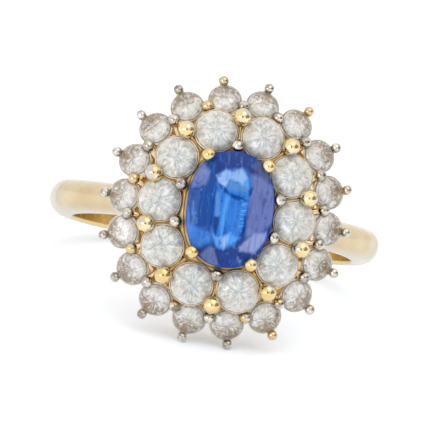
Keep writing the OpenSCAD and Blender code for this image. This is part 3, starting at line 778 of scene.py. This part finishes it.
# Plate: closes the gallery round the collar's foot, in the same lighter gold of painted bounce light.
plate = {"thickness": 0.3, "out": 0.75, "above": 0.1, "edge": 0.05}


def plateGrid(columns=120):
    # A closed profile carried from the collar's outline, half way through its wall, to the oval of the
    # inner stones' middles + out: along + share * (oval - collar).
    around = np.linspace(0, 2 * math.pi, columns, endpoint=False)
    foot = head["centreLevel"] - collar["below"] - collar["height"] + plate["above"]
    half = head["centreHalf"] + collar["out"] - collar["thickness"] / 2
    inside = turnedHead(np.concatenate([cushion(around, half), np.zeros((columns, 1))], -1))
    reach = head["innerHalf"][:2] + plate["out"]
    outside = np.stack([reach[0] * np.cos(around), reach[1] * np.sin(around), 0 * around], -1)
    e, t = plate["edge"], plate["thickness"]
    share = np.array([0, 1 - e, 1, 1, 1 - e, 0])[:, None, None]
    level = foot + np.array([t, t, t - e, e, 0, 0])[:, None]
    grid = inside[None] + share * (outside - inside)[None]
    grid[..., 2] = level
    return grid[None]


makePiece("galleryPlate", [plateGrid()], gapBounceLitGold, wrapRows=True)

# Cups: the cone of metal round each round stone, open below.
cups = {"wall": 0.1, "depthShare": 0.66, "footShare": 0.58, "pavilionShare": 0.42, "lip": 0.02,
        "postWidth": 1.4, "postDrop": 1.45}


def cupGrid(width, columns=40):
    # A closed profile of a slanting wall, its inside following the stone's underside, turned round
    # the stone's axis.
    girdle, clear = head["girdle"], head["clear"]
    deep = cups["pavilionShare"] * width
    depth = deep * cups["depthShare"]
    rim = width / 2 + cups["wall"]
    hollow = width / 2 + clear
    slope = hollow / (deep + clear - clear / 2)
    innerTop = hollow - (girdle / 2 - clear / 2) * slope
    innerFoot = hollow - (depth - girdle / 2 - clear / 2) * slope
    lip = cups["lip"]
    profile = np.array([(rim - lip, -girdle), (rim, -girdle - lip), (rim * cups["footShare"], -depth),
                        (innerFoot, -depth), (innerTop, -girdle)])
    return loopGrid(profile, columns)


def seatPostGrid(width, columns=28):
    # A short post, hollowed above by the cone of the stone's underside, turned round the stone's axis.
    deepest = cups["pavilionShare"] * width + head["girdle"] / 2 + head["clear"]
    reach = cups["postWidth"] / 2
    slope = (deepest - head["girdle"]) / (width / 2 + head["clear"])
    profile = np.array([(0, -cups["postDrop"]), (reach, -cups["postDrop"]), (reach, reach * slope - deepest),
                        (0, -deepest)])
    return loopGrid(profile, columns)


makePiece("innerCups", [ofTier("inner", cupGrid)], deepGoldAndBounce, wrapRows=True)
makePiece("seatPosts", [ofTier("inner", seatPostGrid)], deepGoldAndBounce)
makePiece("outerCups", [ofTier("outer", cupGrid)], silverCup, wrapRows=True)

# Lips: the edge round each stone, a thin wire just under its girdle, its paler metal a painted highlight line.
lips = {"width": 0.07, "out": 0.045, "level": -0.03, "points": 8, "around": 48}


def lipGrid(width):
    return loopGrid(roundProfile(width / 2 + lips["out"], lips["level"], lips["width"], lips["points"]),
                    lips["around"])


makePiece("innerLips", [ofTier("inner", lipGrid)], rimMetal, wrapRows=True)
makePiece("outerLips", [ofTier("outer", lipGrid)], rimMetal, wrapRows=True)

# Claws: straight prongs from the base rail, each with a ball over the stones' edges.
claws = {"prong": 0.5, "post": 0.72, "spoke": 0.52, "spokeDrop": 0.6, "spokeIn": 1.855,
         "tip": 0.64, "tipReach": 1.235, "tipLift": 0.12,
         "between": 0.76, "betweenIn": 0.35, "betweenLift": 0.32,
         "large": 1.12, "largeOut": 0.8, "largeLift": 0.22,
         "small": 0.84, "smallIn": 1.01, "smallLift": 0.4, "smallAt": (18, 90, 162, 198, 270, 342),
         "smallStem": 1.05, "stemShare": 0.8,
         "centre": 0.86, "centreOut": 0.16, "centreLift": 0.3, "centreAt": (48, 124, 228, 302),
         "centreStem": 1.75}


def railFoot(degrees):
    # A point on the middle line of the base rail.
    a = np.radians(degrees)
    r = head["railRadius"]
    return np.stack([r * np.cos(a), r * np.sin(a), np.full_like(a, head["railLevel"])], -1)


def tipPoints(degrees):
    # Out along the outer stones' tilted girdle and up their axis.
    a = math.radians(head["outerTilt"])
    reach, lift = claws["tipReach"], claws["tipLift"]
    return beside(degrees, head["outerHalf"], reach * math.cos(a) + lift * math.sin(a),
                  head["outerLevel"] - reach * math.sin(a) + lift * math.cos(a))


def centreClawPoints():
    # On the cushion outline, moved out along its ellipse's normal.
    t = np.radians(claws["centreAt"])
    half = head["centreHalf"]
    normal = np.stack([half[1] * np.cos(t), half[0] * np.sin(t)], -1)
    normal /= np.linalg.norm(normal, axis=-1, keepdims=True)
    flat = cushion(t, half) + claws["centreOut"] * normal
    return turnedHead(np.concatenate([flat, np.full((len(t), 1), claws["centreLift"])], -1))


outerAngles = tierAngles(head["outerCount"])
innerGaps, outerGaps = tierAngles(head["innerCount"], 0.5), tierAngles(head["outerCount"], 0.5)
tips = tipPoints(outerAngles)
betweens = beside(outerGaps, head["outerHalf"], -claws["betweenIn"], head["outerLevel"] + claws["betweenLift"])
larges = beside(innerGaps, head["innerHalf"], claws["largeOut"], head["innerLevel"] + claws["largeLift"])
smalls = beside(claws["smallAt"], head["innerHalf"], -claws["smallIn"], head["innerLevel"] + claws["smallLift"])
centres = centreClawPoints()
spokeLevel = head["innerLevel"] - claws["spokeDrop"]
down = np.array([0, 0, -1.0])

makePiece("outerProngs", [barGrid(railFoot(outerAngles), tips, claws["prong"]),
                          barGrid(railFoot(outerGaps), betweens, claws["prong"])],
          deepGoldAndBounce)
makePiece("innerPosts", [barGrid(railFoot(innerGaps), larges, claws["post"]),
                         barGrid(beside(innerGaps, head["innerHalf"], -claws["spokeIn"], spokeLevel),
                                 beside(innerGaps, head["innerHalf"], claws["largeOut"], spokeLevel),
                                 claws["spoke"])],
          deepGoldAndBounce)
makePiece("stems", [barGrid(smalls + claws["smallStem"] * down, smalls, claws["small"] * claws["stemShare"]),
                    barGrid(centres + claws["centreStem"] * down, centres,
                            claws["centre"] * claws["stemShare"])],
          deepGoldAndBounce)
makePiece("tipBalls", [ballGrid(tips, claws["tip"])], whiteAndReflectionMetal)
makePiece("betweenBalls", [ballGrid(betweens, claws["between"])], whiteAndReflectionMetal)
makePiece("smallBalls", [ballGrid(smalls, claws["small"])], whiteAndReflectionMetal)
makePiece("largeBalls", [ballGrid(larges, claws["large"])], ballGold)
makePiece("centreBalls", [ballGrid(centres, claws["centre"])], ballGold)

# Floor, light and camera
stageLook = {"size": 3.0, "floor": (0.95, 0.96, 0.97), "glow": (0.13, 0.16, 0.21), "rough": 0.9, "sky": 1.12}


def makeFloor():
    half = stageLook["size"] / 2
    mesh = bpy.data.meshes.new("floor")
    mesh.from_pydata([(-half, -half, 0), (half, -half, 0), (half, half, 0), (-half, half, 0)], [],
                     [(0, 1, 2, 3)])
    material, _, shader, _ = newMaterial("paleFloor")
    shader.inputs["Base Color"].default_value = (*stageLook["floor"], 1)
    shader.inputs["Roughness"].default_value = stageLook["rough"]
    shader.inputs["Specular IOR Level"].default_value = 0
    shader.inputs["Emission Color"].default_value = (*stageLook["glow"], 1)
    shader.inputs["Emission Strength"].default_value = 1
    mesh.materials.append(material)
    floor = bpy.data.objects.new("floor", mesh)
    bpy.context.scene.collection.objects.link(floor)


makeFloor()

photoView = {"azimuth": -2.915, "elevation": 14.6, "roll": 10.241, "distance": 260,
             "target": (-0.5827, -9.718, 7.7908), "shownWidth": 26.436, "sensor": 36,
             "near": 10, "far": 20000}


def makeCamera():
    # Looks back along the direction to the camera, turned about it by the roll.
    az, el, roll = (math.radians(photoView[k]) for k in ("azimuth", "elevation", "roll"))
    back = Vector((math.sin(az) * math.cos(el), -math.cos(az) * math.cos(el), math.sin(el)))
    right = Vector((math.cos(az), math.sin(az), 0))
    up = back.cross(right)
    rightTurned = math.cos(roll) * right + math.sin(roll) * up
    upTurned = math.cos(roll) * up - math.sin(roll) * right
    place = Vector(photoView["target"]) * mm + back * photoView["distance"] * mm
    camera = bpy.data.cameras.new("camera")
    camera.sensor_width = photoView["sensor"]
    camera.lens = photoView["sensor"] * photoView["distance"] / photoView["shownWidth"]
    camera.clip_start = photoView["near"] * mm
    camera.clip_end = photoView["far"] * mm
    holder = bpy.data.objects.new("camera", camera)
    turn = Matrix((rightTurned, upTurned, back)).transposed().to_4x4()
    turn.translation = place
    holder.matrix_world = turn
    bpy.context.scene.collection.objects.link(holder)
    bpy.context.scene.camera = holder
    return back, rightTurned, upTurned


back, rightWay, upWay = makeCamera()

# The light tent's cards: how far each lies along back, right and up, the cosines at its edge and its
# brightness against the tent.
cards = [((0.82, -0.57, -0.1), (0.92, 0.965), 2.8), ((0.6, 0.35, 0.7), (0.9, 0.95), 1.7),
         ((0.35, 0.93, -0.1), (0.82, 0.92), 0.3), ((1, 0, 0), (0.975, 0.99), 0.1)]


def makeSky():
    # An even white tent with the brighter and darker cards on its wall.
    world = bpy.data.worlds.new("studio")
    world.use_nodes = True
    tree = world.node_tree
    coords = tree.nodes.new("ShaderNodeTexCoord")
    colour = grey(1.0)
    for place, edge, strength in cards:
        way = (place[0] * back + place[1] * rightWay + place[2] * upWay).normalized()
        facing = dotWith(tree, coords.outputs["Generated"], way)
        colour = blendTones(tree, between(tree, facing, *edge), colour, grey(strength))
    sky = tree.nodes["Background"]
    tree.links.new(colour, sky.inputs["Color"])
    sky.inputs["Strength"].default_value = stageLook["sky"]
    bpy.context.scene.world = world


makeSky()

scene = bpy.context.scene
scene.view_settings.view_transform = "Standard"
scene.cycles.use_denoising = True
print("stage set")
